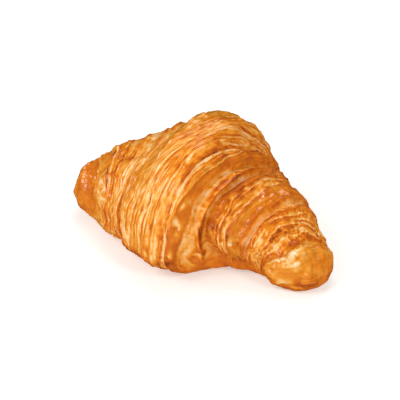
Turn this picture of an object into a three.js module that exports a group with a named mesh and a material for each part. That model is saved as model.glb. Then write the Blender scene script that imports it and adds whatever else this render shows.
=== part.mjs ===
// A plain butter croissant: one rolled and baked piece of laminated dough, lying on its flat base.
// Units are millimetres and +Z is up. The roll runs along X, from the narrow tip at -X to the
// broad tip at +X, and its back is at +Y. The origin is the middle of the base.
import * as THREE from "three";

// Driving dimensions of the roll.
const LENGTH = 152;
const HALF_LENGTH = LENGTH / 2;
const BOW = 10; // how far the tips bow towards -Y
const BOW_CENTRE = -6; // where along the roll the bow turns
const NARROW_CAP = 7; // length over which the narrow tip rounds off
const BROAD_CAP = 15; // length over which the broad tip rounds off
const NARROW_LIFT = 9; // height of the narrow tip's underside above the tray
const NARROW_LIFT_START = -60;
const BROAD_LIFT = 2;
const BROAD_LIFT_START = 66;
const PRESS = 1.5; // how deep the underside was pressed flat by the tray

// The widest level of a section stands at this share of its height, plus a fixed amount.
const WAIST_SHARE = 0.36;
const WAIST_RISE = 3;
const WAIST_LIMIT = { lowest: 8, highest: 26 };

// Roundness of a section: 2 is an ellipse, and more is squarer.
const TOP_ROUNDNESS = 2;
const BASE_ROUNDNESS = 2.8;

// The outline. at: place along the roll. half: half the width of the section there.
// height: top above the tray. side: how far the section stands to +Y of the bowed spine.
const STATIONS = [
  { at: -HALF_LENGTH, half: 9, height: 25.5, side: -3.5 },
  { at: -64, half: 16, height: 33, side: 0 },
  { at: -50, half: 29, height: 43.5, side: 0 },
  { at: -34, half: 39, height: 50.5, side: 0 },
  { at: -22, half: 46, height: 58.8, side: 0 },
  { at: -6, half: 51, height: 70, side: -0.5 },
  { at: 8, half: 49, height: 70, side: -2.5 },
  { at: 18, half: 42.4, height: 59, side: -3.2 },
  { at: 27, half: 35.4, height: 50.4, side: -1.8 },
  { at: 36, half: 29, height: 44.5, side: 0.5 },
  { at: 46, half: 25, height: 40.5, side: 1.5 },
  { at: 54, half: 22, height: 35, side: 0.5 },
  { at: 62, half: 17.4, height: 26.5, side: -0.6 },
  { at: HALF_LENGTH, half: 14.6, height: 19, side: 0.3 },
];

// The edges of the wraps run round the roll in slanting rings. slant: how far a ring reaches to
// +X over the top and back and to -X at the front, by its place along the roll. shoulder: how
// much further it reaches to +X high on the back alone.
const SLANTS = [
  { at: -HALF_LENGTH, slant: -4, shoulder: 0 },
  { at: -60, slant: -8, shoulder: 0 },
  { at: -45, slant: -8, shoulder: 1 },
  { at: -36, slant: -3, shoulder: 8 },
  { at: -28, slant: 14, shoulder: 11 },
  { at: -17, slant: 36, shoulder: 6 },
  { at: -8, slant: 36, shoulder: 2 },
  { at: 0, slant: 29, shoulder: 1 },
  { at: 10, slant: 19, shoulder: 0 },
  { at: 18, slant: 12, shoulder: 0 },
  { at: 30, slant: 9, shoulder: 0 },
  { at: 50, slant: 10, shoulder: 0 },
  { at: 60, slant: 11, shoulder: 0 },
  { at: HALF_LENGTH, slant: 6, shoulder: 0 },
];
const SLANT_FADE = 18; // the rings stand square again over this length at each tip
const SLANT_PEAK = Math.PI / 9; // angle round the roll at which a ring is furthest to +X
const SLANT_BALANCE = 0.26;
const FRONT_EASING = 0.2; // how much of the slant the front gives up
const SHOULDER = { peak: THREE.MathUtils.degToRad(55), none: 0.15, full: 0.95 }; // by cosine

// The creases where one wrap of dough ends on the next. at: the ring that a crease follows.
// extra: further depth low on the flanks. sweep: how far along the roll it leaves that ring
// under the front.
const CREASES = [
  { at: -61.5, depth: 0.4, extra: 1.8, sweep: 0 },
  { at: -44.5, depth: 0.9, extra: 1.0, sweep: 0 },
  { at: -31.5, depth: 1.8, extra: 1.6, sweep: 0 },
  { at: 9, depth: 0.7, extra: 0.2, sweep: 0 },
  { at: 22.3, depth: 1.5, extra: 0.4, sweep: 0 },
  { at: 29, depth: 0.8, extra: 1.2, sweep: 0 },
  { at: 42.5, depth: 1.0, extra: 0.6, sweep: -4 },
  { at: 61, depth: 1.4, extra: 1.6, sweep: -9 },
];
const CREASE_REACH = 2.5;
const CREASE_SHARPNESS = 1.3;
const LOW_FLANK = { level: -0.25, reach: 0.5 }; // in sines of the angle round the roll
const SWEEP = { none: 140, full: 190, stillFull: 295, noMore: 345 }; // degrees round the roll

// The low front flank is drawn in where a wrap ends and along the neck before the broad tip.
// reach is along the roll; turn and spread are degrees round it.
const DENTS = [
  { at: -36, reach: 4, turn: 200, spread: 24, depth: 3.5 },
  { at: 28, reach: 7, turn: 206, spread: 32, depth: 9.5 },
  { at: 42, reach: 10, turn: 206, spread: 30, depth: 6 },
];

// Mesh fineness.
const RING_COUNT = 76;
const SIDE_COUNT = 36;
const RING_GAP = 0.9; // no even ring is closer than this to a ring laid in a crease

/** A smooth curve through the values that a list gives at its places. It never overshoots them. */
function profile(list, key) {
  const x = list.map((entry) => entry.at);
  const y = list.map((entry) => entry[key]);
  const step = x.slice(1).map((next, k) => next - x[k]);
  const rise = step.map((h, k) => (y[k + 1] - y[k]) / h);
  const slope = y.map((_, k) => {
    if (k === 0) return rise[0];
    if (k === rise.length) return rise[k - 1];
    if (rise[k - 1] * rise[k] <= 0) return 0;
    const before = 2 * step[k] + step[k - 1];
    const after = step[k] + 2 * step[k - 1];
    return (before + after) / (before / rise[k - 1] + after / rise[k]);
  });
  return (at) => {
    const found = x.findIndex((next, k) => k > 0 && at <= next);
    const k = (found < 0 ? x.length - 1 : found) - 1;
    const h = step[k];
    const t = (at - x[k]) / h;
    const start = (1 + 2 * t) * (1 - t) ** 2 * y[k] + t * (1 - t) ** 2 * h * slope[k];
    const end = t * t * (3 - 2 * t) * y[k + 1] + t * t * (t - 1) * h * slope[k + 1];
    return start + end;
  };
}

const { smoothstep } = THREE.MathUtils;
const halfWidth = profile(STATIONS, "half");
const topHeight = profile(STATIONS, "height");
const sideShift = profile(STATIONS, "side");
const ringSlant = profile(SLANTS, "slant");
const ringShoulder = profile(SLANTS, "shoulder");

/** Share of the full section left at a place along the roll: 1 in the body, 0 at a tip. */
function capShare(at) {
  const narrow = Math.min(at + HALF_LENGTH - NARROW_CAP, 0) / NARROW_CAP;
  const broad = Math.max(at - HALF_LENGTH + BROAD_CAP, 0) / BROAD_CAP;
  return Math.sqrt(Math.max(0, 1 - narrow ** 2 - broad ** 2));
}

/** Height of the underside above the tray where a tip lifts off it. */
function tipLift(at) {
  const narrow = (NARROW_LIFT_START - at) / (NARROW_LIFT_START + HALF_LENGTH);
  const broad = (at - BROAD_LIFT_START) / (HALF_LENGTH - BROAD_LIFT_START);
  return NARROW_LIFT * Math.max(narrow, 0) ** 1.6 + BROAD_LIFT * Math.max(broad, 0) ** 2;
}

/** Place along the roll of the point of a ring at one angle round the roll. */
function placeOn(ring, turn) {
  const lean = 0.5 * (Math.cos(turn - SLANT_PEAK) + SLANT_BALANCE);
  const eased = lean * (1 - FRONT_EASING + FRONT_EASING * Math.tanh(10 * lean));
  const crest = smoothstep(Math.cos(turn - SHOULDER.peak), SHOULDER.none, SHOULDER.full);
  const fade = smoothstep((HALF_LENGTH - Math.abs(ring)) / SLANT_FADE, 0, 1);
  return ring + fade * (ringSlant(ring) * eased + ringShoulder(ring) * crest);
}

/** Share of its sweep that a crease has at an angle in degrees: 1 under the front. */
function sweepShare(degrees) {
  const leaving = smoothstep(degrees, SWEEP.stillFull, SWEEP.noMore);
  return smoothstep(degrees, SWEEP.none, SWEEP.full) * (1 - leaving);
}

/** Depth of the creases and dents at a ring and angle. */
function creaseDepth(ring, turn) {
  const degrees = THREE.MathUtils.radToDeg(turn);
  const low = Math.max(0, 1 - Math.abs(Math.sin(turn) - LOW_FLANK.level) / LOW_FLANK.reach);
  const creases = CREASES.reduce((sum, crease) => {
    const place = crease.at + crease.sweep * sweepShare(degrees);
    const away = Math.abs(ring - place) / CREASE_REACH;
    return sum + (crease.depth + crease.extra * low) * Math.exp(-(away ** CREASE_SHARPNESS));
  }, 0);
  return DENTS.reduce((sum, dent) => {
    const away = ((ring - dent.at) / dent.reach) ** 2 + ((degrees - dent.turn) / dent.spread) ** 2;
    return sum + dent.depth * Math.exp(-away);
  }, creases);
}

/** Sine or cosine bent into a superellipse of the given roundness. */
function squared(value, roundness) {
  return Math.sign(value) * Math.abs(value) ** (2 / roundness);
}

/** A point of the crust, on one ring. turn is the angle round the roll, from +Y over the top. */
function crustPoint(ring, turn) {
  const at = placeOn(ring, turn);
  const cap = capShare(at);
  const height = topHeight(at);
  const waist = THREE.MathUtils.clamp(
    WAIST_SHARE * height + WAIST_RISE,
    WAIST_LIMIT.lowest,
    WAIST_LIMIT.highest,
  );
  const half = halfWidth(at) * cap;
  const above = (height - waist) * cap;
  const below = (waist - tipLift(at) + PRESS) * Math.sqrt(cap);
  const over = Math.sin(turn) >= 0;
  const roundness = over ? TOP_ROUNDNESS : BASE_ROUNDNESS;
  let across = half * squared(Math.cos(turn), roundness);
  let up = (over ? above : below) * squared(Math.sin(turn), roundness);

  if (cap > 0) {
    const middle = (above + below) / 2;
    const outward = new THREE.Vector2(across / half ** 2, up / middle ** 2).normalize();
    const depth = creaseDepth(ring, turn) * cap;
    across -= outward.x * depth;
    up -= outward.y * depth;
  }

  const bowAt = (at - BOW_CENTRE) / HALF_LENGTH;
  const heading = Math.atan((-2 * BOW * bowAt) / HALF_LENGTH);
  return new THREE.Vector3(
    at - Math.sin(heading) * across,
    sideShift(at) - BOW * bowAt ** 2 + Math.cos(heading) * across,
    Math.max(waist + up, 0),
  );
}

/** Places of the rings between the tips: closer together at the tips, and one in each crease. */
function ringPlaces() {
  const even = Array.from({ length: RING_COUNT }, (_, k) => {
    const t = (k + 1) / (RING_COUNT + 1);
    return LENGTH * (0.3 * (1 - Math.cos(Math.PI * t)) + 0.4 * t) - HALF_LENGTH;
  });
  const clear = even.filter((at) => CREASES.every((crease) => Math.abs(at - crease.at) > RING_GAP));
  return [...clear, ...CREASES.map((crease) => crease.at)].sort((a, b) => a - b);
}

/** The closed crust: rings of points joined by triangles, with one point at each tip. */
function crustGeometry() {
  const places = ringPlaces();
  const points = [crustPoint(-HALF_LENGTH, 0)];
  for (const at of places) {
    for (let side = 0; side < SIDE_COUNT; side++) {
      points.push(crustPoint(at, (2 * Math.PI * side) / SIDE_COUNT));
    }
  }
  points.push(crustPoint(HALF_LENGTH, 0));

  const faces = [];
  const last = points.length - 1;
  const corner = (ring, side) => 1 + ring * SIDE_COUNT + (side % SIDE_COUNT);
  for (let side = 0; side < SIDE_COUNT; side++) {
    faces.push(0, corner(0, side + 1), corner(0, side));
    faces.push(last, corner(places.length - 1, side), corner(places.length - 1, side + 1));
    for (let ring = 0; ring < places.length - 1; ring++) {
      const [a, b] = [corner(ring, side), corner(ring, side + 1)];
      const [c, d] = [corner(ring + 1, side), corner(ring + 1, side + 1)];
      faces.push(a, b, c);
      faces.push(b, d, c);
    }
  }

  const geometry = new THREE.BufferGeometry().setFromPoints(points);
  geometry.setIndex(faces);
  geometry.computeBoundingBox();
  const centre = geometry.boundingBox.getCenter(new THREE.Vector3());
  geometry.translate(-centre.x, -centre.y, -geometry.boundingBox.min.z);
  geometry.computeVertexNormals();
  return geometry;
}

const crust = new THREE.MeshStandardMaterial({ color: 0xdc8d41, roughness: 0.45, metalness: 0 });
const croissant = new THREE.Mesh(crustGeometry(), crust);
croissant.name = "croissant";

const part = new THREE.Group();
part.add(croissant);

export default part;
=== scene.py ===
"""A plain butter croissant, dressed over its CAD part.

The crust is one closed mesh. It repeats the roll's form from its driving dimensions, fits that
form to the part's box, and lays the relief of the baked dough over it: the edges of the wraps,
the thin leaves of laminated dough, rounded folds, blisters and the glossy skins between them.
Lengths inside the classes are millimetres unless a name says otherwise; the mesh is in metres.
"""

import logging
import math
from dataclasses import dataclass, field
from enum import Enum

import bpy
import numpy as np
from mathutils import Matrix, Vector

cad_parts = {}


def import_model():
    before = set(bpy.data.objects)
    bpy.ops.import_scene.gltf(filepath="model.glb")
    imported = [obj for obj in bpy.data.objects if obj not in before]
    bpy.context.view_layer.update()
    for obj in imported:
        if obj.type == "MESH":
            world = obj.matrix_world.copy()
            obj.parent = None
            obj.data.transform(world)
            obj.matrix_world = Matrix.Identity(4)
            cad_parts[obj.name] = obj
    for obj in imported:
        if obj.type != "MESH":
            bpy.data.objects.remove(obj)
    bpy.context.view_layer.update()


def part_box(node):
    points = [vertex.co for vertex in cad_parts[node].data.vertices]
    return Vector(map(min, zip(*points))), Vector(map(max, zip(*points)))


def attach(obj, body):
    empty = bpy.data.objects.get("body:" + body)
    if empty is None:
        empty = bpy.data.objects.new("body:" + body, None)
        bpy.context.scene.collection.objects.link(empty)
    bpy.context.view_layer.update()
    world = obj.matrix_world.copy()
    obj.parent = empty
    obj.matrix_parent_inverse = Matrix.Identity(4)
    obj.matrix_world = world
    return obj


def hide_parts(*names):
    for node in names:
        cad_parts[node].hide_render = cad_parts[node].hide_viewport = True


NODE = "croissant"

log = logging.getLogger("croissant")


def smoothstep(low: float, high: float, value: np.ndarray) -> np.ndarray:
    """Smooth 0 to 1 as value goes from low to high; low may be the larger one."""
    t = np.clip((value - low) / (high - low), 0.0, 1.0)
    return t * t * (3.0 - 2.0 * t)


def profile(places: list[float], values: list[float], at: np.ndarray) -> np.ndarray:
    """Monotone cubic through values at places, evaluated at the given places.

    Args:
        places: increasing places along an axis.
        values: the value at each place.
        at: where to evaluate, of any shape; it is held within the listed places.

    Returns:
        The values there, in the shape of at.
    """
    x = np.array(places, float)
    y = np.array(values, float)
    step = np.diff(x)
    rise = np.diff(y) / step
    slope = np.empty_like(y)
    slope[0], slope[-1] = rise[0], rise[-1]
    before = 2.0 * step[1:] + step[:-1]
    after = step[1:] + 2.0 * step[:-1]
    turning = rise[:-1] * rise[1:] <= 0.0
    safe = np.where(rise == 0.0, 1.0, rise)
    blended = (before + after) / (before / safe[:-1] + after / safe[1:])
    slope[1:-1] = np.where(turning, 0.0, blended)
    held = np.clip(at, x[0], x[-1])
    k = np.clip(np.searchsorted(x, held) - 1, 0, len(step) - 1)
    h = step[k]
    t = (held - x[k]) / h
    start = (1 + 2 * t) * (1 - t) ** 2 * y[k] + t * (1 - t) ** 2 * h * slope[k]
    end = t * t * (3 - 2 * t) * y[k + 1] + t * t * (t - 1) * h * slope[k + 1]
    return start + end


def squared(value: np.ndarray, roundness: float) -> np.ndarray:
    """Sine or cosine bent into a superellipse of the given roundness."""
    return np.sign(value) * np.abs(value) ** (2.0 / roundness)


@dataclass(frozen=True)
class Station:
    """Half width, top height and sideways shift of the roll's section at one place along it."""

    at: float
    half: float
    height: float
    side: float


@dataclass(frozen=True)
class Crease:
    """A crease that follows one ring.

    Args:
        at: the ring.
        depth: how deep it is.
        extra: further depth low on the flanks.
        sweep: how far it leaves its ring, along the roll, towards the front of the base.
    """

    at: float
    depth: float
    extra: float
    sweep: float = 0.0


@dataclass(frozen=True)
class Dent:
    """A place where the low front flank is drawn in, by ring and angle round the roll."""

    at: float
    reach: float
    turn: float
    spread: float
    depth: float


@dataclass(frozen=True)
class Slant:
    """How far a ring reaches to +X: slant over the top and back, shoulder only over the top."""

    at: float
    slant: float
    shoulder: float


@dataclass(frozen=True)
class RollForm:
    """The croissant's form without fine relief, as the CAD part has it."""

    half_length: float = 76.0
    bow: float = 10.0
    bow_centre: float = -6.0
    narrow_cap: float = 7.0
    broad_cap: float = 15.0
    narrow_lift: float = 9.0
    narrow_lift_start: float = -60.0
    broad_lift: float = 2.0
    broad_lift_start: float = 66.0
    press: float = 1.5
    waist_share: float = 0.36
    waist_rise: float = 3.0
    waist_lowest: float = 8.0
    waist_highest: float = 26.0
    top_roundness: float = 2.0
    base_roundness: float = 2.8
    crease_reach: float = 2.5
    crease_sharpness: float = 1.3
    slant_fade: float = 18.0
    slant_peak: float = math.pi / 9
    slant_balance: float = 0.26
    front_easing: float = 0.2
    stations: tuple[Station, ...] = (
        Station(-76, 9, 25.5, -3.5),
        Station(-64, 16, 33, 0),
        Station(-50, 29, 43.5, 0),
        Station(-34, 39, 50.5, 0),
        Station(-22, 46, 58.8, 0),
        Station(-6, 51, 70, -0.5),
        Station(8, 49, 70, -2.5),
        Station(18, 42.4, 59, -3.2),
        Station(27, 35.4, 50.4, -1.8),
        Station(36, 29, 44.5, 0.5),
        Station(46, 25, 40.5, 1.5),
        Station(54, 22, 35, 0.5),
        Station(62, 17.4, 26.5, -0.6),
        Station(76, 14.6, 19, 0.3),
    )
    creases: tuple[Crease, ...] = (
        Crease(-61.5, 0.4, 1.8),
        Crease(-44.5, 0.9, 1.0),
        Crease(-31.5, 1.8, 1.6),
        Crease(9, 0.7, 0.2),
        Crease(22.3, 1.5, 0.4),
        Crease(29, 0.8, 1.2),
        Crease(42.5, 1.0, 0.6, sweep=-4.0),
        Crease(61, 1.4, 1.6, sweep=-9.0),
    )
    dents: tuple[Dent, ...] = (
        Dent(-36, 4, math.radians(200), math.radians(24), 3.5),
        Dent(28, 7, math.radians(206), math.radians(32), 9.5),
        Dent(42, 10, math.radians(206), math.radians(30), 6),
    )
    sweep_start: float = math.radians(140)
    sweep_end: float = math.radians(190)
    slants: tuple[Slant, ...] = (
        Slant(-76, -4, 0),
        Slant(-60, -8, 0),
        Slant(-45, -8, 1),
        Slant(-36, -3, 8),
        Slant(-28, 14, 11),
        Slant(-17, 36, 6),
        Slant(-8, 36, 2),
        Slant(0, 29, 1),
        Slant(10, 19, 0),
        Slant(18, 12, 0),
        Slant(30, 9, 0),
        Slant(50, 10, 0),
        Slant(60, 11, 0),
        Slant(76, 6, 0),
    )
    shoulder_peak: float = math.radians(55)

    def along(self, key: str, at: np.ndarray) -> np.ndarray:
        """One measure of the stations, named by key, at places along the roll."""
        places = [s.at for s in self.stations]
        return profile(places, [getattr(s, key) for s in self.stations], at)

    def cap(self, at: np.ndarray) -> np.ndarray:
        """Share of the full section left at a place: 1 in the body, 0 at a tip.

        Args:
            at: places along the roll.

        Returns:
            The share at each place.
        """
        narrow = np.minimum(at + self.half_length - self.narrow_cap, 0) / self.narrow_cap
        broad = np.maximum(at - self.half_length + self.broad_cap, 0) / self.broad_cap
        return np.sqrt(np.clip(1 - narrow**2 - broad**2, 0, None))

    def lift(self, at: np.ndarray) -> np.ndarray:
        """Height of the underside above the tray where a tip lifts off it.

        Args:
            at: places along the roll.

        Returns:
            The height at each place.
        """
        narrow_room = self.narrow_lift_start + self.half_length
        narrow = np.clip((self.narrow_lift_start - at) / narrow_room, 0, None)
        broad_room = self.half_length - self.broad_lift_start
        broad = np.clip((at - self.broad_lift_start) / broad_room, 0, None)
        return self.narrow_lift * narrow**1.6 + self.broad_lift * broad**2

    def place(self, ring: np.ndarray, turn: np.ndarray) -> np.ndarray:
        """Place along the roll of the point of a ring at one angle round the roll.

        Args:
            ring: the ring.
            turn: the angle round the roll in radians, from +Y over the top.

        Returns:
            The place, which the ring's slant and shoulder move away from the ring's own.
        """
        lean = 0.5 * (np.cos(turn - self.slant_peak) + self.slant_balance)
        eased = lean * (1 - self.front_easing + self.front_easing * np.tanh(10 * lean))
        crest = smoothstep(0.15, 0.95, np.cos(turn - self.shoulder_peak))
        fade = smoothstep(0, 1, (self.half_length - np.abs(ring)) / self.slant_fade)
        places = [s.at for s in self.slants]
        slant = profile(places, [s.slant for s in self.slants], ring)
        shoulder = profile(places, [s.shoulder for s in self.slants], ring)
        return ring + fade * (slant * eased + shoulder * crest)

    def sweep(self, turn: np.ndarray) -> np.ndarray:
        """Share of its sweep that a crease has at an angle: 1 under the front, 0 elsewhere."""
        under = smoothstep(self.sweep_start, self.sweep_end, turn)
        return under * smoothstep(math.radians(345), math.radians(295), turn)

    def crease_depth(self, ring: np.ndarray, turn: np.ndarray) -> np.ndarray:
        """Depth of the wraps' creases, a little deeper low on the flanks, and of the dents.

        Args:
            ring: ring of each point.
            turn: its angle round the roll in radians.

        Returns:
            How far each point is pressed in.
        """
        low = np.clip(1 - np.abs(np.sin(turn) + 0.25) / 0.5, 0, None)
        sweep = self.sweep(turn)
        depth = np.zeros_like(ring)
        for crease in self.creases:
            away = np.abs(ring - crease.at - crease.sweep * sweep) / self.crease_reach
            depth += (crease.depth + crease.extra * low) * np.exp(-(away**self.crease_sharpness))
        for dent in self.dents:
            away = ((ring - dent.at) / dent.reach) ** 2 + ((turn - dent.turn) / dent.spread) ** 2
            depth += dent.depth * np.exp(-away)
        return depth

    def points(self, ring: np.ndarray, turn: np.ndarray, depth: np.ndarray) -> np.ndarray:
        """Points of the form, pressed in by depth.

        Args:
            ring: the ring each point is on.
            turn: its angle round the roll, from +Y over the top.
            depth: how far it stands inside the smooth form.

        Returns:
            An array of the same shape with a last axis of x, y and z.
        """
        at = np.clip(self.place(ring, turn), -self.half_length, self.half_length)
        cap = self.cap(at)
        height = self.along("height", at)
        waist = np.clip(
            self.waist_share * height + self.waist_rise, self.waist_lowest, self.waist_highest
        )
        half = self.along("half", at) * cap
        above = (height - waist) * cap
        below = (waist - self.lift(at) + self.press) * np.sqrt(cap)
        over = np.sin(turn) >= 0
        across = half * np.where(
            over,
            squared(np.cos(turn), self.top_roundness),
            squared(np.cos(turn), self.base_roundness),
        )
        up = np.where(
            over,
            above * squared(np.sin(turn), self.top_roundness),
            below * squared(np.sin(turn), self.base_roundness),
        )
        out_y = across / np.maximum(half, 1e-3) ** 2
        out_z = up / np.maximum((above + below) / 2, 1e-3) ** 2
        size = np.sqrt(out_y**2 + out_z**2) + 1e-12
        across = across - out_y / size * depth * cap
        up = up - out_z / size * depth * cap
        bow_at = (at - self.bow_centre) / self.half_length
        heading = np.arctan(-2 * self.bow * bow_at / self.half_length)
        x = at - np.sin(heading) * across
        y = self.along("side", at) - self.bow * bow_at**2 + np.cos(heading) * across
        return np.stack([x, y, np.maximum(waist + up, 0)], axis=-1)


@dataclass(frozen=True)
class Grain:
    """Smooth seeded noise over the crust, of unit deviation.

    It is laid out in ring and turn, repeats round the roll, and changes over ring_reach along
    the roll and over turn_reach degrees round it.
    """

    seed: int
    ring_reach: float
    turn_reach: float
    span: float = 200.0

    def lattice(self) -> np.ndarray:
        """White noise smoothed to the two reaches, on cells a third of each reach.

        Returns:
            The cells, by ring and turn.
        """
        rings = max(16, int(3 * self.span / self.ring_reach))
        turns = max(8, int(3 * 360 / self.turn_reach))
        white = np.random.default_rng(self.seed).standard_normal((rings, turns))
        ring_waves = np.fft.fftfreq(rings)[:, None] * rings * self.ring_reach / self.span
        turn_waves = np.fft.fftfreq(turns)[None, :] * turns * self.turn_reach / 360
        kept = np.exp(-2 * math.pi**2 * 0.16 * (ring_waves**2 + turn_waves**2))
        smooth = np.real(np.fft.ifft2(np.fft.fft2(white) * kept))
        return (smooth - smooth.mean()) / smooth.std()

    def at(self, ring: np.ndarray, degrees: np.ndarray) -> np.ndarray:
        """The noise, between lattice cells by a smooth blend.

        Args:
            ring: ring of each point.
            degrees: its angle round the roll.

        Returns:
            The noise at each point.
        """
        cells = self.lattice()
        rows, columns = cells.shape
        row = (ring / self.span + 0.5) * rows
        column = degrees / 360 * columns
        r0, c0 = np.floor(row).astype(int), np.floor(column).astype(int)
        fr, fc = row - r0, column - c0
        fr, fc = fr * fr * (3 - 2 * fr), fc * fc * (3 - 2 * fc)
        r0, c0 = r0 % rows, c0 % columns
        r1, c1 = (r0 + 1) % rows, (c0 + 1) % columns
        near = cells[r0, c0] * (1 - fc) + cells[r0, c1] * fc
        far = cells[r1, c0] * (1 - fc) + cells[r1, c1] * fc
        return near * (1 - fr) + far * fr


@dataclass(frozen=True)
class Swell:
    """Smooth seeded noise in space, of unit deviation, built from waves of one rough length."""

    seed: int
    length: float
    waves: int = 36

    def at(self, points: np.ndarray) -> np.ndarray:
        """The noise at places in space.

        Args:
            points: the places in millimetres, with a last axis of x, y and z.

        Returns:
            The noise at each place.
        """
        rng = np.random.default_rng(self.seed)
        total = np.zeros(points.shape[:-1])
        for _ in range(self.waves):
            heading = rng.standard_normal(3)
            heading /= np.linalg.norm(heading)
            wave = 2 * math.pi / (self.length * rng.uniform(0.7, 1.5))
            total += np.cos(points @ (heading * wave) + rng.uniform(0, 2 * math.pi))
        return total * math.sqrt(2 / self.waves)


@dataclass(frozen=True)
class Edge:
    """The edge of a leaf of dough that ends on the next one, facing the nearer tip.

    Args:
        at: ring it follows.
        rise: how far the edge stands above what it ends on.
        pale: how much paler the edge is.
        dark: how much darker its foot is; that dark line is partly browning and partly painted
            shade in the crease at the foot.
        inside: length over which the leaf rises to its edge.
        wander: how far the edge strays from its ring.
        first, last: angles between which it shows, in degrees.
    """

    at: float
    rise: float
    pale: float = 0.2
    dark: float = 0.2
    inside: float = 1.6
    wander: float = 0.5
    first: float = -60.0
    last: float = 228.0


@dataclass(frozen=True)
class Fold:
    """A rounded fold that stands out along a ring, or with a negative rise a groove, whose darker
    tone is painted shade.
    """

    at: float
    reach: float
    rise: float
    tone: float
    first: float = -60.0
    last: float = 228.0


@dataclass(frozen=True)
class Patch:
    """A spot of the crust, by ring and angle in degrees, that is raised or toned."""

    at: float
    reach: float
    turn: float
    spread: float
    rise: float
    tone: float


@dataclass(frozen=True)
class Drift:
    """How far the lines of the relief leave one ring, along the roll, low on the front."""

    at: float
    shift: float


@dataclass(frozen=True)
class Texture:
    """A noise laid over the crust, and how much one unit of it raises and darkens the dough."""

    noise: Grain | Swell
    rise: float = 0.0
    bake: float = 0.0


@dataclass(frozen=True)
class FrontLeaves:
    """The leaves that open low on the front of the big wrap's skin.

    Args:
        start, end: rings between which they lie.
        gap: distance between their edges.
        reach: how far from their middle ring the skin is open.
        low, high: angles in degrees over which the opening grows towards the base.
        share: how much of the skin they take away.
    """

    start: float = -30.0
    end: float = -14.0
    gap: float = 1.6
    reach: float = 9.0
    low: float = 132.0
    high: float = 158.0
    share: float = 0.8

    def opened(self, line: np.ndarray, degrees: np.ndarray) -> np.ndarray:
        """How open the skin is.

        Args:
            line: the ring that the relief follows at each point.
            degrees: the point's angle round the roll.

        Returns:
            The opening at each point, from 0 to 1.
        """
        middle = (self.start + self.end) / 2
        near = np.exp(-(((line - middle) / self.reach) ** 4))
        return near * smoothstep(self.low, self.high, degrees)


@dataclass
class Surface:
    """The crust while it is worked: a grid of points with their place, height and tone.

    Args:
        ring: ring of each point.
        degrees: its angle round the roll.
        base: its place on the smooth form, with a last axis of x, y and z.
        body: 1 along the roll, fading to 0 at its tips.
        line: the wavering ring that the relief follows there.
        skin: 1 for glossy skin, 0 for laminated dough.
        ragged: noise that frays edges and spots.
        rise: height over the smooth form.
        bake: how dark it is baked.
    """

    ring: np.ndarray
    degrees: np.ndarray
    base: np.ndarray
    body: np.ndarray
    line: np.ndarray
    skin: np.ndarray
    ragged: np.ndarray
    rise: np.ndarray
    bake: np.ndarray


@dataclass(frozen=True)
class Zone:
    """Character of the crust from one ring on, until the next zone.

    Args:
        start: ring where it starts.
        skin: 1 for glossy unbroken skin, 0 for laminated dough.
        bake: how dark it is baked, from 0 pale to 1 burnt.
        gap: usual distance between the edges of its leaves.
    """

    start: float
    skin: float
    bake: float
    gap: float


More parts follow.
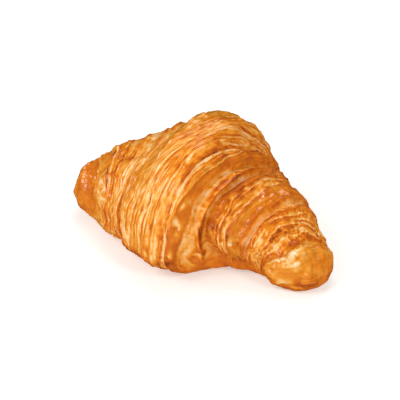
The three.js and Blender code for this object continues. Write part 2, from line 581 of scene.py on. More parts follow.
@dataclass
class Relief:
    """Height and tone of the baked dough over the smooth form."""

    seed: int = 11

    # Leaves to either side of this ring face the nearer tip.
    centre: float = 9.0

    zones: tuple[Zone, ...] = (
        Zone(-80, 0.9, 0.56, 6.0),
        Zone(-61.5, 0.6, 0.47, 3.0),
        Zone(-50, 0.15, 0.58, 1.4),
        Zone(-43, 0.25, 0.42, 1.5),
        Zone(-31.5, 0.7, 0.48, 2.6),
        Zone(-14, 0.25, 0.45, 2.3),
        Zone(5, 0.05, 0.54, 1.3),
        Zone(11.5, 1.0, 0.59, 9.0),
        Zone(17.5, 0.05, 0.50, 1.8),
        Zone(26, 0.1, 0.56, 1.3),
        Zone(34.5, 0.95, 0.58, 9.0),
        Zone(41.5, 0.3, 0.46, 2.2),
        Zone(46.8, 0.05, 0.57, 1.2),
        Zone(60.5, 0.95, 0.48, 9.0),
    )
    edges: tuple[Edge, ...] = (
        Edge(-61.5, 0.7, 0.22, 0.18),
        Edge(-50.5, 0.6, 0.18, 0.25),
        Edge(-43.5, 0.6, 0.20, 0.30),
        Edge(-38.5, 0.7, 0.22, 0.20),
        Edge(-31.5, 1.2, 0.20, 0.08, inside=4.0, wander=0.3),
        Edge(-17.0, 0.5, 0.18, 0.20),
        Edge(-5.0, 0.8, 0.20, 0.24, inside=2.4),
        Edge(2.5, 0.8, 0.22, 0.20, inside=2.4),
        Edge(11.0, 1.3, 0.28, 0.22, inside=2.4, wander=0.3),
        Edge(20.9, 1.6, 0.08, 0.30, inside=3.0, wander=0.4, last=236),
        Edge(26.2, 1.3, 0.10, 0.24, inside=2.6, wander=0.4, last=145),
        Edge(29.4, 0.6, 0.34, 0.22, wander=0.3),
        Edge(31.0, 0.6, 0.34, 0.22, wander=0.3),
        Edge(34.3, 1.1, 0.36, 0.20, inside=1.6, wander=0.3),
        Edge(46.6, 1.2, 0.20, 0.20, inside=3.0, wander=0.3),
        Edge(54.3, 0.9, 0.34, 0.22, inside=1.6, wander=0.3),
        Edge(58.0, 0.6, 0.30, 0.10, wander=0.3),
    )
    # Grooves, with a negative rise, carry a darker tone that is painted shade.
    folds: tuple[Fold, ...] = (
        Fold(19.0, 1.8, 2.4, 0.02, last=236),
        Fold(22.1, 0.9, -2.0, 0.22, last=236),
        Fold(24.8, 1.6, 1.9, 0.02, last=205),
        Fold(27.2, 1.2, -0.5, 0.08, 70, 135),
        Fold(42.4, 1.1, -1.0, 0.14),
        Fold(44.4, 1.5, 2.7, -0.16),
        Fold(26.0, 2.4, 1.2, 0.0, 140, 240),
        Fold(60.6, 1.5, -1.4, 0.12, 105, 260),
        Fold(-32.2, 1.0, -0.6, 0.05),
    )
    patches: tuple[Patch, ...] = (
        # Areas that are a little paler or browner than their zone.
        Patch(-22, 12, 168, 28, 0, -0.13),
        Patch(2, 13, 160, 32, 0, -0.07),
        Patch(27, 5, 168, 24, 0, 0.02),
        Patch(42, 5, 172, 22, 0, -0.14),
        Patch(-53, 2.0, 115, 9, 0, 0.14),
        Patch(-43.5, 2.2, 107, 12, 0, 0.26),
        # A pale torn flake near the crest, and browner dough beside it.
        Patch(24.2, 1.5, 99, 8, 0.5, -0.24),
        Patch(27, 1.6, 106, 18, 0, 0.06),
        Patch(49, 4.0, 102, 10, 0, 0.12),
        # Scorched spots at the base, round the end of the broad tip and in one small tear.
        Patch(12, 3.5, 194, 6, 0, 0.40),
        Patch(74.2, 1.6, 205, 30, 0, 0.50),
        Patch(74.2, 1.8, 335, 34, 0, 0.55),
        Patch(35.2, 0.5, 160, 5, -0.8, 0.30),
        # Cream spots on the glossy skins, slightly raised: painted highlights.
        Patch(14.8, 1.3, 141, 3.5, 0.6, -0.50),
        Patch(13.4, 0.7, 148, 3.0, 0.6, -0.40),
        Patch(13.2, 1.3, 159, 3.0, 0.7, -0.50),
        Patch(14.8, 0.8, 164, 4.0, 0.6, -0.40),
        Patch(13.8, 1.8, 184, 2.2, 0.3, -0.30),
        Patch(37.5, 1.4, 146, 2.0, 0.7, -0.16),
        Patch(38.8, 1.2, 153, 2.4, 0.7, -0.20),
        Patch(36.6, 0.8, 169, 4.0, 0.6, -0.50),
        Patch(-55.5, 2.2, 141, 4.0, 0.5, -0.34),
        Patch(-52.5, 1.8, 149, 3.0, 0.5, -0.34),
        Patch(-57.0, 2.0, 157, 4.0, 0.5, -0.40),
        Patch(-52.0, 2.0, 162, 3.0, 0.5, -0.30),
        Patch(-30.5, 2.6, 118, 1.4, 0.7, -0.16),
        Patch(-29.5, 2.4, 145, 1.6, 0.6, -0.16),
        # The paler foot of the neck.
        Patch(38, 7, 196, 16, 0, -0.12),
        # The hollow in the broad tip, and the pale wrinkles round it, which are painted highlights
        # on slightly raised spots.
        Patch(66.0, 4.5, 142, 22, -0.75, -0.06),
        Patch(62.6, 0.8, 154, 14, 0.25, -0.42),
        Patch(64.6, 0.8, 130, 8, 0.20, -0.38),
        Patch(67.2, 0.8, 144, 9, 0.20, -0.30),
    )
    drifts: tuple[Drift, ...] = (
        Drift(18, 0),
        Drift(28.5, -2.6),
        Drift(35, 0.5),
        Drift(44, 4),
        Drift(52, 7),
        Drift(60, 9),
        Drift(68, 4),
        Drift(76, 0),
    )
    front_leaves: FrontLeaves = FrontLeaves()

    # Where the relief stands in full, and where it ends at the tips.
    body_end: float = 75.0
    body_full: float = 60.0
    first_leaf: float = -72.0
    last_leaf: float = 70.0

    # How the relief's lines waver along the roll, and how its edges and spots fray.
    wave: Grain = Grain(12, 16, 50)
    wave_size: float = 0.9
    ripple: Grain = Grain(13, 5, 18)
    ripple_size: float = 0.3
    fraying: Grain = Grain(14, 2.0, 2.6)
    edge_fray: float = 0.16

    # The section of a leaf's edge: its step, the pale and the dark line beside it, its foot; the
    # dark line is partly browning and partly painted shade.
    edge_step: float = 0.16
    edge_line: float = 0.32
    pale_inside: float = 0.36
    dark_outside: float = 0.28
    foot_reach: float = 0.8

    # Grain: streaks on the skins, crumb on the laminated dough, uneven browning of the whole.
    skin_streak: Texture = Texture(Grain(23, 1.0, 14), rise=0.07, bake=0.06)
    broad_tip_streak: float = 0.10
    broad_tip_start: float = 58.0
    broad_tip_full: float = 64.0
    streak: Texture = Texture(Grain(16, 0.9, 16), rise=0.18, bake=-0.085)
    beads: Texture = Texture(Grain(20, 1.3, 3.0), rise=0.16, bake=-0.11)
    broad: Texture = Texture(Grain(21, 2.2, 40), rise=0.22, bake=-0.03)
    oven_tone: Texture = Texture(Swell(17, 16), bake=0.04)
    oven_mottle: Texture = Texture(Swell(18, 5), bake=0.02)

    # Painted shade darkens the hollows and painted light makes the crests paler, within limits.
    painted_hollow_shade_and_crest_light: float = 0.25
    hollow_least: float = -0.45
    hollow_most: float = 0.6

    # Height of the whole relief, and its share that is left at the base.
    relief_scale: float = 1.15
    low_relief: float = 0.35

    # Blisters and cross wrinkles; the wrinkles lie on the front, between two angles in degrees.
    large_blister: Texture = Texture(Swell(31, 15), rise=0.35)
    middle_blister: Texture = Texture(Swell(32, 6.5), rise=0.32)
    small_blister: Texture = Texture(Swell(33, 2.8), rise=0.18)
    wrinkle: Texture = Texture(Grain(34, 9, 2.6), rise=0.85)
    wrinkle_least: float = 0.4
    wrinkle_start: float = 112.0
    wrinkle_full: float = 135.0

    # The underside and its browned rim, by the sine of the angle round the roll.
    under_start: float = -0.44
    under_full: float = -0.80
    rim_at: float = -0.46
    rim_width: float = 0.14
    base_tone: float = 0.70
    base_streak: float = 0.06
    rim_tone: float = 0.30
    rim_spots: Grain = Grain(19, 10, 30)

    # Gloss that laminated dough keeps, and the tone above which browning slows down.
    leaf_gloss: float = 0.22
    deep_tone: float = 0.64

    def zone_value(self, key: str, ring: np.ndarray) -> np.ndarray:
        """One measure of the zones, which changes over about a millimetre where a zone ends.

        Args:
            key: name of the measure.
            ring: the rings to give it at.

        Returns:
            The measure at each ring.
        """
        value = np.full_like(ring, getattr(self.zones[0], key))
        for before, zone in zip(self.zones, self.zones[1:]):
            change = getattr(zone, key) - getattr(before, key)
            value += change * smoothstep(zone.start - 0.7, zone.start + 0.7, ring)
        return value

    def leaf_edges(self) -> list[Edge]:
        """The named edges and, between them, the many small ones of the laminated zones.

        Returns:
            All edges; their order sets the noise that each one strays by.
        """
        rng = np.random.default_rng(self.seed)
        made = list(self.edges)
        ends = [zone.start for zone in self.zones[1:]] + [self.last_leaf]
        for zone, end in zip(self.zones, ends):
            at = max(zone.start, self.first_leaf) + zone.gap * rng.uniform(0.3, 0.9)
            while at < end:
                size = rng.uniform(0.35, 1.0) * (1 - 0.75 * zone.skin)
                first = rng.uniform(-120, 150)
                made.append(
                    Edge(
                        at=at,
                        rise=0.55 * size * (zone.gap / 2.0) ** 0.5,
                        pale=0.52 * size,
                        dark=0.42 * size,
                        inside=0.55 * zone.gap,
                        wander=rng.uniform(0.4, 1.1),
                        first=first,
                        last=first + rng.uniform(70, 240),
                    )
                )
                at += zone.gap * rng.uniform(0.6, 1.4)
        front = self.front_leaves
        for at in np.arange(front.start, front.end, front.gap):
            size = rng.uniform(0.4, 1.0)
            made.append(
                Edge(
                    at=at + rng.uniform(-0.5, 0.5),
                    rise=0.6 * size,
                    pale=0.34 * size,
                    dark=0.22 * size,
                    inside=1.0,
                    wander=0.7,
                    first=rng.uniform(122, 150),
                    last=rng.uniform(205, 240),
                )
            )
        return made

    def build(
        self, ring: np.ndarray, turn: np.ndarray, sweep: np.ndarray, base: np.ndarray
    ) -> dict[str, np.ndarray]:
        """Relief and tone over a grid of the crust.

        Args:
            ring: ring of each point.
            turn: its angle round the roll in radians.
            sweep: share of its sweep that a swept crease has there.
            base: the smooth form's points, with a last axis of x, y and z.

        Returns:
            Arrays named rise (mm), bake, gloss and loose, in the grid's shape.
        """
        surface = self.start(ring, np.degrees(turn), sweep, base)
        self.lay_leaves(surface)
        self.lay_folds(surface)
        self.lay_patches(surface)
        self.lay_textures(surface)
        self.raise_crust(surface, turn)
        return self.finish(surface, turn)

    def start(
        self, ring: np.ndarray, degrees: np.ndarray, sweep: np.ndarray, base: np.ndarray
    ) -> Surface:
        """The crust before any relief, with the baking tone of its zones.

        Args:
            ring: ring of each point.
            degrees: its angle round the roll.
            sweep: share of its sweep that a swept crease has there.
            base: the smooth form's points, with a last axis of x, y and z.

        Returns:
            The surface, ready to be worked.
        """
        body = smoothstep(self.body_end, self.body_full, np.abs(ring))
        line = ring + self.wave_size * body * self.wave.at(ring, degrees)
        line += self.ripple_size * body * self.ripple.at(ring, degrees)
        line += sweep * profile([d.at for d in self.drifts], [d.shift for d in self.drifts], ring)
        opened = self.front_leaves.opened(line, degrees)
        skin = self.zone_value("skin", line) * (1 - self.front_leaves.share * opened)
        return Surface(
            ring=ring,
            degrees=degrees,
            base=base,
            body=body,
            line=line,
            skin=skin,
            ragged=self.fraying.at(ring, degrees),
            rise=np.zeros_like(ring),
            bake=self.zone_value("bake", line),
        )

    def lay_leaves(self, surface: Surface) -> None:
        """Raises the edges of the leaves, pale on the edge and dark at its foot, where the dark is
        partly browning and partly painted shade.

        Args:
            surface: the crust that is worked.
        """
        ring, degrees, ragged = surface.ring, surface.degrees, surface.ragged
        for number, edge in enumerate(self.leaf_edges()):
            stray = Grain(self.seed * 100 + number, 60, 45).at(ring, degrees)
            fine = Grain(self.seed * 200 + number, 30, 9).at(ring, degrees)
            out = np.sign(edge.at - self.centre) or 1.0
            away = out * (surface.line - edge.at)
            away += edge.wander * (stray + 0.25 * fine) + self.edge_fray * ragged
            shown = self.shown(degrees, edge.first, edge.last)
            shown = shown * np.clip(0.8 + 0.35 * fine + 0.2 * ragged, 0.1, 1.3)
            step = 1 / (1 + np.exp(np.clip(away / self.edge_step, -30, 30)))
            leaf = step * np.exp(np.minimum(away, 0) / edge.inside)
            foot = (1 - step) * np.exp(-np.maximum(away, 0) / self.foot_reach)
            surface.rise += shown * edge.rise * (0.7 * leaf - 0.45 * foot)
            pale = np.exp(-(((away + self.pale_inside) / self.edge_line) ** 2))
            # dark line at the foot: partly browning, partly painted shade in the crease
            dark = np.exp(-(((away - self.dark_outside) / self.edge_line) ** 2))
            surface.bake -= shown * edge.pale * pale
            surface.bake += shown * edge.dark * dark

    def lay_folds(self, surface: Surface) -> None:
        """Raises the rounded folds and sinks the grooves between them, whose darker tone is painted
        shade.

        Args:
            surface: the crust that is worked.
        """
        for fold in self.folds:
            away = (surface.line - fold.at) / fold.reach
            shown = self.shown(surface.degrees, fold.first, fold.last)
            surface.rise += shown * fold.rise * np.exp(-(away**2))
            # the tone darkens each groove with painted shade
            surface.bake += shown * fold.tone * np.exp(-(away**2))

    def lay_patches(self, surface: Surface) -> None:
        """Raises and tones the named spots.

        Args:
            surface: the crust that is worked.
        """
        for patch in self.patches:
            away = ((surface.line - patch.at) / patch.reach) ** 2
            away += ((surface.degrees - patch.turn) / patch.spread) ** 2
            spot = np.exp(-away)
            surface.rise += patch.rise * spot * (1 + 0.25 * surface.ragged)
            surface.bake += patch.tone * spot * np.clip(1 + 0.6 * surface.ragged, 0, 2)

    def lay_textures(self, surface: Surface) -> None:
        """Adds the grain of the laminated dough, streaks on the skins and uneven browning.

        Args:
            surface: the crust that is worked.
        """
        line, degrees, base = surface.line, surface.degrees, surface.base
        skin, loose = surface.skin, 1 - surface.skin
        streaks = self.skin_streak.noise.at(line, degrees) * surface.body
        surface.rise += self.skin_streak.rise * skin * streaks
        crumb = (self.streak, self.beads, self.broad)
        noise = [texture.noise.at(line, degrees) for texture in crumb]
        surface.rise += loose * sum(t.rise * n for t, n in zip(crumb, noise))
        surface.bake += loose * sum(t.bake * n for t, n in zip(crumb, noise))
        surface.bake += self.oven_tone.bake * self.oven_tone.noise.at(base)
        broad_tip = self.broad_tip_streak * smoothstep(
            self.broad_tip_start, self.broad_tip_full, surface.ring
        )
        surface.bake += (self.skin_streak.bake + broad_tip) * streaks * skin
        surface.bake += self.oven_mottle.bake * self.oven_mottle.noise.at(base)

    def raise_crust(self, surface: Surface, turn: np.ndarray) -> None:
        """Paints shade into the hollows and light onto the crests, then scales the relief, adds
        blisters and calms it at the base.

        Args:
            surface: the crust that is worked.
            turn: each point's angle round the roll in radians.
        """
        # painted shade in the hollows and painted light on the crests, from how far the relief lies
        # below its average along the roll
        hollow = self.spread_out(surface.rise) - surface.rise
        held = np.clip(hollow, self.hollow_least, self.hollow_most)
        surface.bake += self.painted_hollow_shade_and_crest_light * held
        top = np.clip(np.sin(turn) * 4 + 2.7, 0, 1)
        surface.rise = self.relief_scale * surface.rise * surface.body + self.blisters(surface)
        surface.rise *= self.low_relief + (1 - self.low_relief) * top

    def finish(self, surface: Surface, turn: np.ndarray) -> dict[str, np.ndarray]:
        """Browns the rim and the underside, and works out the gloss.

        Args:
            surface: the worked crust.
            turn: each point's angle round the roll in radians.

        Returns:
            Arrays named rise (mm), bake, gloss and loose, in the grid's shape.
        """
        up = np.sin(turn)
        under = smoothstep(self.under_start, self.under_full, up)
        streak = self.streak.noise.at(surface.line, surface.degrees)
        tray = self.base_tone + self.base_streak * streak
        bake = surface.bake * (1 - under) + under * tray
        rim = np.exp(-(((up - self.rim_at) / self.rim_width) ** 2))
        spots = self.rim_spots.at(surface.ring, surface.degrees)
        bake += self.rim_tone * rim * np.clip(0.3 + 0.7 * spots, 0, 1.3)
        shine = np.clip(self.leaf_gloss + (1 - self.leaf_gloss) * surface.skin, 0, 1)
        deep = np.clip(bake - self.deep_tone, 0, None)
        return {
            "rise": surface.rise,
            "bake": np.clip(bake - 0.5 * deep, 0, 1),
            "gloss": shine * (1 - 0.8 * under),
            "loose": np.clip(1 - surface.skin - under, 0, 1),
        }

    def spread_out(self, rise: np.ndarray, reach: int = 9) -> np.ndarray:
        """The relief averaged along the roll.

        Args:
            rise: the relief over the grid.
            reach: about how many rings to either side are averaged.

        Returns:
            The averaged relief, in the same shape.
        """
        steps = np.arange(-2 * reach, 2 * reach + 1)
        weights = np.exp(-((steps / reach) ** 2))
        padded = np.pad(rise, ((2 * reach, 2 * reach), (0, 0)), mode="edge")
        total = sum(w * padded[k : k + len(rise)] for k, w in enumerate(weights))
        return total / weights.sum()

    def shown(self, degrees: np.ndarray, first: float, last: float) -> np.ndarray:
        """1 between two angles round the roll and 0 away from them, easing over 25 degrees.

        Args:
            degrees: each point's angle round the roll.
            first: the angle it starts at.
            last: the angle it ends at.

        Returns:
            The share at each point.
        """
        middle, half = (first + last) / 2, (last - first) / 2
        away = np.abs((degrees - middle + 180) % 360 - 180)
        return smoothstep(half + 12, half - 13, away)

    def blisters(self, surface: Surface) -> np.ndarray:
        """Soft swellings everywhere, with blisters and cross wrinkles on unbroken skin.

        Args:
            surface: the crust that is worked.

        Returns:
            Their height at each point.
        """
        large, middle, small = self.large_blister, self.middle_blister, self.small_blister
        body = np.clip((68 - np.abs(surface.line)) / 6, 0, 1)
        cross = self.wrinkle.noise.at(surface.line, surface.degrees) - self.wrinkle_least
        front = smoothstep(self.wrinkle_start, self.wrinkle_full, surface.degrees)
        wrinkles = np.clip(cross, 0, None) * body * front
        skin = middle.rise * middle.noise.at(surface.base)
        skin = skin + small.rise * small.noise.at(surface.base) + self.wrinkle.rise * wrinkles
        return large.rise * large.noise.at(surface.base) + surface.skin * skin


class Shade(Enum):
    """Baking colours of the crust from pale to burnt, as linear values."""

    CREAM = (0.0, (0.96, 0.66, 0.40))
    PALE = (0.22, (0.90, 0.485, 0.135))
    GOLD = (0.42, (0.80, 0.300, 0.024))
    AMBER = (0.60, (0.69, 0.178, 0.007))
    RUST = (0.80, (0.46, 0.086, 0.005))
    BURNT = (1.0, (0.13, 0.024, 0.003))


class NodeGraph:
    """Small helper that adds and links shader nodes of one tree."""

    def __init__(self, tree: bpy.types.NodeTree) -> None:
        """Starts with an empty tree."""
        self.tree = tree
        tree.nodes.clear()

    def add(self, kind: str, inputs: dict | None = None, **settings) -> bpy.types.Node:
        """Adds a node.

        Args:
            kind: the node's type name.
            inputs: socket name or number to a value or another node's output socket.
            settings: properties of the node.

        Returns:
            The new node.
        """
        node = self.tree.nodes.new(kind)
        for name, value in settings.items():
            setattr(node, name, value)
        for name, value in (inputs or {}).items():
            if isinstance(value, bpy.types.NodeSocket):
                self.tree.links.new(value, node.inputs[name])
            else:
                node.inputs[name].default_value = value
        return node

    def math(self, operation: str, *values) -> bpy.types.NodeSocket:
        """A math node on numbers or sockets; returns its output socket."""
        node = self.add("ShaderNodeMath", dict(enumerate(values)), operation=operation)
        return node.outputs[0]

    def centred(self, value: bpy.types.NodeSocket) -> bpy.types.NodeSocket:
        """A noise's output moved to lie round 0."""
        return self.math("SUBTRACT", value, 0.5)

    def noise(
        self, place: bpy.types.NodeSocket, scale: float, detail: float, roughness: float = 0.5
    ) -> bpy.types.NodeSocket:
        """A noise texture.

        Args:
            place: where the noise is read.
            scale: how many of its waves fit in one unit of place.
            detail: number of finer layers.
            roughness: strength of each finer layer.

        Returns:
            The noise's output socket.
        """
        inputs = {"Vector": place, "Scale": scale, "Detail": detail, "Roughness": roughness}
        return self.add("ShaderNodeTexNoise", inputs).outputs["Fac"]


@dataclass(frozen=True)
class CrustFinish:
    """Egg-washed, baked dough: colour by bake, gloss by skin, and fine grain."""

    rough_skin: float = 0.32
    rough_leaf: float = 0.50
    rough_mottle: float = 0.18
    coat_most: float = 0.9
    coat_roughness: float = 0.16
    coat_ior: float = 1.8
    streak_scale: float = 1.6
    streak_tone: float = 0.28
    blotch_scale: float = 220.0
    blotch_tone: float = 0.22
    grain_scale: float = 1500.0
    grain_on_skin: float = 0.12
    grain_on_leaf: float = 0.40
    bump_depth: float = 0.0004

    def material(self) -> bpy.types.Material:
        """Builds the material, which reads the mesh's bake, loose, gloss and flow attributes.

        Returns:
            The crust's material.
        """
        made = bpy.data.materials.new("crust")
        made.use_nodes = True
        graph = NodeGraph(made.node_tree)
        bake = graph.add("ShaderNodeAttribute", attribute_name="bake").outputs["Fac"]
        loose = graph.add("ShaderNodeAttribute", attribute_name="loose").outputs["Fac"]
        gloss = graph.add("ShaderNodeAttribute", attribute_name="gloss").outputs["Fac"]
        flow = graph.add("ShaderNodeAttribute", attribute_name="flow").outputs["Vector"]
        place = graph.add("ShaderNodeTexCoord").outputs["Object"]
        streak = graph.noise(flow, self.streak_scale, detail=3.0, roughness=0.6)
        blotch = graph.noise(place, self.blotch_scale, detail=4.0, roughness=0.6)
        speck = graph.noise(place, self.grain_scale, detail=2.0)
        drawn = graph.math("MULTIPLY", loose, self.streak_tone)
        tone = graph.math("MULTIPLY_ADD", graph.centred(streak), drawn, bake)
        tone = graph.math("MULTIPLY_ADD", graph.centred(blotch), self.blotch_tone, tone)
        grain = graph.math("MULTIPLY_ADD", loose, self.grain_on_leaf, self.grain_on_skin)
        tone = graph.math("MULTIPLY_ADD", graph.centred(speck), grain, tone)
        ramp = graph.add("ShaderNodeValToRGB", {"Fac": tone})
        self.colour_ramp(ramp.color_ramp)
        leaf = graph.math("SUBTRACT", 1.0, gloss)
        rough = graph.math("MULTIPLY_ADD", leaf, self.rough_leaf - self.rough_skin, self.rough_skin)
        rough = graph.math("MULTIPLY_ADD", graph.centred(blotch), self.rough_mottle, rough)
        coat = graph.math("MULTIPLY", gloss, self.coat_most)
        height = graph.math("MULTIPLY_ADD", streak, 0.5, graph.math("MULTIPLY", speck, 0.2))
        bump = graph.add(
            "ShaderNodeBump", {"Height": height, "Strength": 0.5, "Distance": self.bump_depth}
        )
        shader = graph.add(
            "ShaderNodeBsdfPrincipled",
            {
                "Base Color": ramp.outputs["Color"],
                "Roughness": rough,
                "Coat Weight": coat,
                "Coat Roughness": self.coat_roughness,
                "Coat IOR": self.coat_ior,
                "Specular IOR Level": 0.08,
                "Normal": bump.outputs["Normal"],
                "Subsurface Weight": 0.08,
                "Subsurface Radius": (1.0, 0.45, 0.15),
                "Subsurface Scale": 0.003,
            },
        )
        graph.add("ShaderNodeOutputMaterial", {"Surface": shader.outputs[0]})
        return made

    def colour_ramp(self, ramp: bpy.types.ColorRamp) -> None:
        """Sets a ramp's stops to the baking colours.

        Args:
            ramp: the ramp, whose stops are moved and added to.
        """
        shades = list(Shade)
        while len(ramp.elements) < len(shades):
            ramp.elements.new(0.5)
        for element, shade in zip(ramp.elements, shades):
            element.position = shade.value[0]
            element.color = (*shade.value[1], 1.0)


@dataclass
class Crust:
    """The croissant's one piece: a closed mesh of rings with a point at each tip."""

    form: RollForm
    relief: Relief
    finish: CrustFinish
    ring_count: int = 560
    side_count: int = 178
    tip_crowding: float = 0.6
    top_crowding: float = 0.35
    flow_radius: float = 1.6

    def rings(self) -> np.ndarray:
        """Places of the rings, closer together at the tips.

        Returns:
            The places along the roll, from the narrow tip on.
        """
        t = (np.arange(self.ring_count) + 1) / (self.ring_count + 1)
        crowded = self.tip_crowding / 2 * (1 - np.cos(math.pi * t))
        spread = crowded + (1 - self.tip_crowding) * t
        return self.form.half_length * (2 * spread - 1)

    def turns(self) -> np.ndarray:
        """Angles round the roll, closer together over the top than underneath.

        Returns:
            The angles in radians, from +Y over the top.
        """
        t = np.arange(self.side_count) / self.side_count
        lean = self.top_crowding * np.cos(2 * math.pi * t)
        return 2 * math.pi * t + lean - self.top_crowding

    def mesh(self, box: tuple[Vector, Vector]) -> bpy.types.Mesh:
        """Builds the crust's mesh, fitted to the part's box.

        Args:
            box: lowest and highest corner of the CAD node, in metres.

        Returns:
            The mesh with its bake, gloss, loose and flow attributes.
        """
        ring, turn = np.meshgrid(self.rings(), self.turns(), indexing="ij")
        depth = self.form.crease_depth(ring, turn)
        base = self.form.points(ring, turn, depth)
        relief = self.relief.build(ring, turn, self.form.sweep(turn), base)
        points = base + relief["rise"][..., None] * self.outward(base)
        points[..., 2] = np.maximum(points[..., 2], 0)
        low, high = base.min((0, 1)), base.max((0, 1))
        scale = (box[1].x - box[0].x) / (high[0] - low[0])
        middle = np.array([(low[0] + high[0]) / 2, (low[1] + high[1]) / 2, 0])
        centre = np.array([(box[0].x + box[1].x) / 2, (box[0].y + box[1].y) / 2, box[0].z])
        tips = np.array([points[0].mean(0), points[-1].mean(0)])
        corners = np.vstack([points.reshape(-1, 3), tips])
        mesh = bpy.data.meshes.new("crust")
        mesh.from_pydata(((corners - middle) * scale + centre).tolist(), [], self.faces())
        mesh.shade_smooth()
        self.attach(mesh, "bake", relief["bake"])
        self.attach(mesh, "gloss", relief["gloss"])
        self.attach(mesh, "loose", relief["loose"])
        self.attach_flow(mesh, ring, turn)
        return mesh

    def outward(self, points: np.ndarray) -> np.ndarray:
        """Unit normals of the grid, pointing out of the roll.

        Args:
            points: the grid's points, with a last axis of x, y and z.

        Returns:
            The normals, in the same shape.
        """
        along = np.gradient(points, axis=0)
        around = np.roll(points, -1, 1) - np.roll(points, 1, 1)
        normal = np.cross(around, along)
        return -normal / (np.linalg.norm(normal, axis=-1, keepdims=True) + 1e-12)

    def faces(self) -> list[tuple[int, ...]]:
        """Quads between the rings and triangles at the tips.

        Returns:
            Each face as numbers of its points; the two tips come after the grid.
        """
        sides = np.arange(self.side_count)
        after = (sides + 1) % self.side_count
        made: list[tuple[int, ...]] = []
        for k in range(self.ring_count - 1):
            a, b = k * self.side_count, (k + 1) * self.side_count
            made.extend(zip(a + sides, a + after, b + after, b + sides))
        narrow = self.ring_count * self.side_count
        last = (self.ring_count - 1) * self.side_count
        made.extend((narrow, int(b), int(a)) for a, b in zip(sides, after))
        made.extend((narrow + 1, int(last + a), int(last + b)) for a, b in zip(sides, after))
        return [tuple(int(v) for v in face) for face in made]

    def attach(self, mesh: bpy.types.Mesh, name: str, values: np.ndarray) -> None:
        """Stores a grid of numbers on the mesh's points; a tip takes its ring's mean.

        Args:
            mesh: the crust's mesh.
            name: the attribute's name.
            values: the numbers, in the grid's shape.
        """
        flat = np.concatenate([values.ravel(), [values[0].mean(), values[-1].mean()]])
        attribute = mesh.attributes.new(name, "FLOAT", "POINT")
        attribute.data.foreach_set("value", flat.astype(np.float32))

    def attach_flow(self, mesh: bpy.types.Mesh, ring: np.ndarray, turn: np.ndarray) -> None:
        """Stores the streaks' own coordinates: ring, and a slow circle round the roll.

        Args:
            mesh: the crust's mesh.
            ring: ring of each point of the grid.
            turn: its angle round the roll in radians.
        """
        across, up = self.flow_radius * np.cos(turn), self.flow_radius * np.sin(turn)
        tip = self.form.half_length
        flow = np.stack([ring, across, up], -1).reshape(-1, 3)
        flow = np.vstack([flow, [[-tip, 0, 0], [tip, 0, 0]]])
        attribute = mesh.attributes.new("flow", "FLOAT_VECTOR", "POINT")
        attribute.data.foreach_set("vector", flow.astype(np.float32).ravel())

    def build(self) -> bpy.types.Object:
        """Makes the crust and sets it in the frame.

        Returns:
            The crust, which stands in for the part's node.
        """
        piece = bpy.data.objects.new("crust", self.mesh(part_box(NODE)))
        bpy.context.scene.collection.objects.link(piece)
        piece.data.materials.append(self.finish.material())
        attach(piece, "root")
        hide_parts(NODE)
        log.info("crust: %d points", len(piece.data.vertices))
        return piece


def heading(azimuth: float, elevation: float) -> Vector:
    """Unit vector from the object; azimuth 0 is -Y and 90 is +X, both in degrees."""
    a, e = math.radians(azimuth), math.radians(elevation)
    return Vector((math.sin(a) * math.cos(e), -math.cos(a) * math.cos(e), math.sin(e)))


@dataclass(frozen=True)
class SoftLight:
    """A square soft box round the point it is aimed at, in degrees, metres and watts.

    Only a mirrored one shows in the crust's gloss.
    """

    name: str
    azimuth: float
    elevation: float
    size: float
    power: float
    colour: tuple[float, float, float] = (1.0, 0.985, 0.96)
    mirrored: bool = False
    distance: float = 0.9

    def build(self, aim: Vector) -> bpy.types.Object:
        """Adds the light.

        Args:
            aim: the point it faces.

        Returns:
            The light.
        """
        data = bpy.data.lights.new(self.name, "AREA")
        data.shape = "SQUARE"
        data.size = self.size
        data.energy = self.power
        data.color = self.colour
        lamp = bpy.data.objects.new(self.name, data)
        lamp.visible_glossy = self.mirrored
        away = heading(self.azimuth, self.elevation)
        lamp.location = aim + away * self.distance
        lamp.rotation_euler = (-away).to_track_quat("-Z", "Y").to_euler()
        bpy.context.scene.collection.objects.link(lamp)
        return lamp


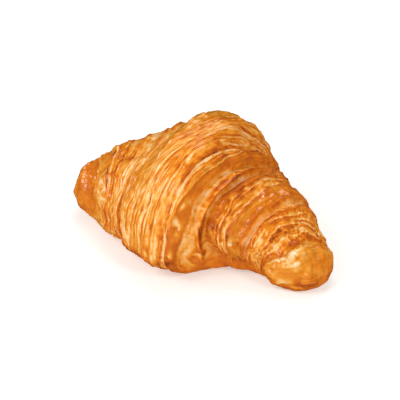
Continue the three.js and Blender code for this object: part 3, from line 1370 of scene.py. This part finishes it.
@dataclass(frozen=True)
class Studio:
    """White floor, white surroundings and soft boxes; only mirrored boxes show in the gloss.

    The surroundings look fully white to the camera but light the croissant only by ambient.
    """

    floor_size: float = 6.0
    floor_albedo: float = 0.70
    floor_glow: float = 0.42
    floor_gap: float = 0.0002
    floor_tint: tuple[float, float, float] = (0.95, 1.0, 0.95)
    sky_tint: tuple[float, float, float] = (0.98, 0.98, 1.0)
    ambient: float = 0.41
    lights: tuple[SoftLight, ...] = (
        SoftLight("key", -60, 26, 0.24, 0.8, mirrored=True),
        SoftLight("window", -24, 46, 0.36, 2.9, mirrored=True),
        SoftLight("low", 2, 10, 0.30, 1.2, mirrored=True),
        SoftLight("right", 70, 36, 0.20, 2.3),
        SoftLight("top", 200, 66, 0.60, 2.8, mirrored=True),
    )

    def build(self, aim: Vector) -> None:
        """Builds the studio.

        Args:
            aim: the point that the camera looks at.
        """
        scene = bpy.context.scene
        scene.view_settings.view_transform = "Standard"
        scene.view_settings.look = "None"
        world = bpy.data.worlds.new("studio")
        world.use_nodes = True
        graph = NodeGraph(world.node_tree)
        seen = graph.add("ShaderNodeLightPath").outputs["Is Camera Ray"]
        strength = graph.math("MULTIPLY_ADD", seen, 1.0 - self.ambient, self.ambient)
        sky = graph.add("ShaderNodeBackground", {0: (*self.sky_tint, 1.0), 1: strength})
        graph.add("ShaderNodeOutputWorld", {"Surface": sky.outputs[0]})
        world.cycles_visibility.glossy = False
        scene.world = world
        for light in self.lights:
            light.build(aim)
        self.floor()

    def floor(self) -> None:
        """Lays a large pale plane under the croissant."""
        h = self.floor_size / 2
        mesh = bpy.data.meshes.new("floor")
        mesh.from_pydata([(-h, -h, 0), (h, -h, 0), (h, h, 0), (-h, h, 0)], [], [(0, 1, 2, 3)])
        made = bpy.data.materials.new("floor")
        made.use_nodes = True
        graph = NodeGraph(made.node_tree)
        white = (self.floor_albedo,) * 3 + (1.0,)
        shader = graph.add(
            "ShaderNodeBsdfPrincipled",
            {
                "Base Color": white,
                "Roughness": 0.9,
                "Emission Color": (*self.floor_tint, 1.0),
                "Emission Strength": self.floor_glow,
            },
        )
        graph.add("ShaderNodeOutputMaterial", {"Surface": shader.outputs[0]})
        mesh.materials.append(made)
        floor = bpy.data.objects.new("floor", mesh)
        floor.location.z = -self.floor_gap
        floor.visible_glossy = False
        bpy.context.scene.collection.objects.link(floor)


@dataclass(frozen=True)
class Viewpoint:
    """The camera: azimuth and elevation in degrees, and lengths in metres."""

    azimuth: float = 30.0
    elevation: float = 33.0
    distance: float = 0.65
    aim: tuple[float, float, float] = (-0.0019, -0.0026, 0.0249)
    seen_width: float = 0.2105

    def build(self) -> bpy.types.Object:
        """Adds the camera and makes it the scene's.

        Returns:
            The camera.
        """
        back = heading(self.azimuth, self.elevation)
        data = bpy.data.cameras.new("camera")
        data.sensor_width = 36.0
        data.lens = data.sensor_width * self.distance / self.seen_width
        data.clip_start, data.clip_end = 0.01, 20.0
        camera = bpy.data.objects.new("camera", data)
        camera.location = Vector(self.aim) + back * self.distance
        camera.rotation_mode = "QUATERNION"
        camera.rotation_quaternion = (-back).to_track_quat("-Z", "Y")
        bpy.context.scene.collection.objects.link(camera)
        bpy.context.scene.camera = camera
        return camera


@dataclass
class Croissant:
    """The whole croissant, which is one piece of baked dough."""

    form: RollForm = field(default_factory=RollForm)
    relief: Relief = field(default_factory=Relief)
    finish: CrustFinish = field(default_factory=CrustFinish)

    def build(self) -> bpy.types.Object:
        """Builds the crust."""
        return Crust(self.form, self.relief, self.finish).build()


def main() -> None:
    """Builds the scene in order."""
    logging.basicConfig(level=logging.INFO, format="%(message)s")
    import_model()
    Croissant().build()
    viewpoint = Viewpoint()
    viewpoint.build()
    Studio().build(Vector(viewpoint.aim))


if __name__ == "__main__":
    main()
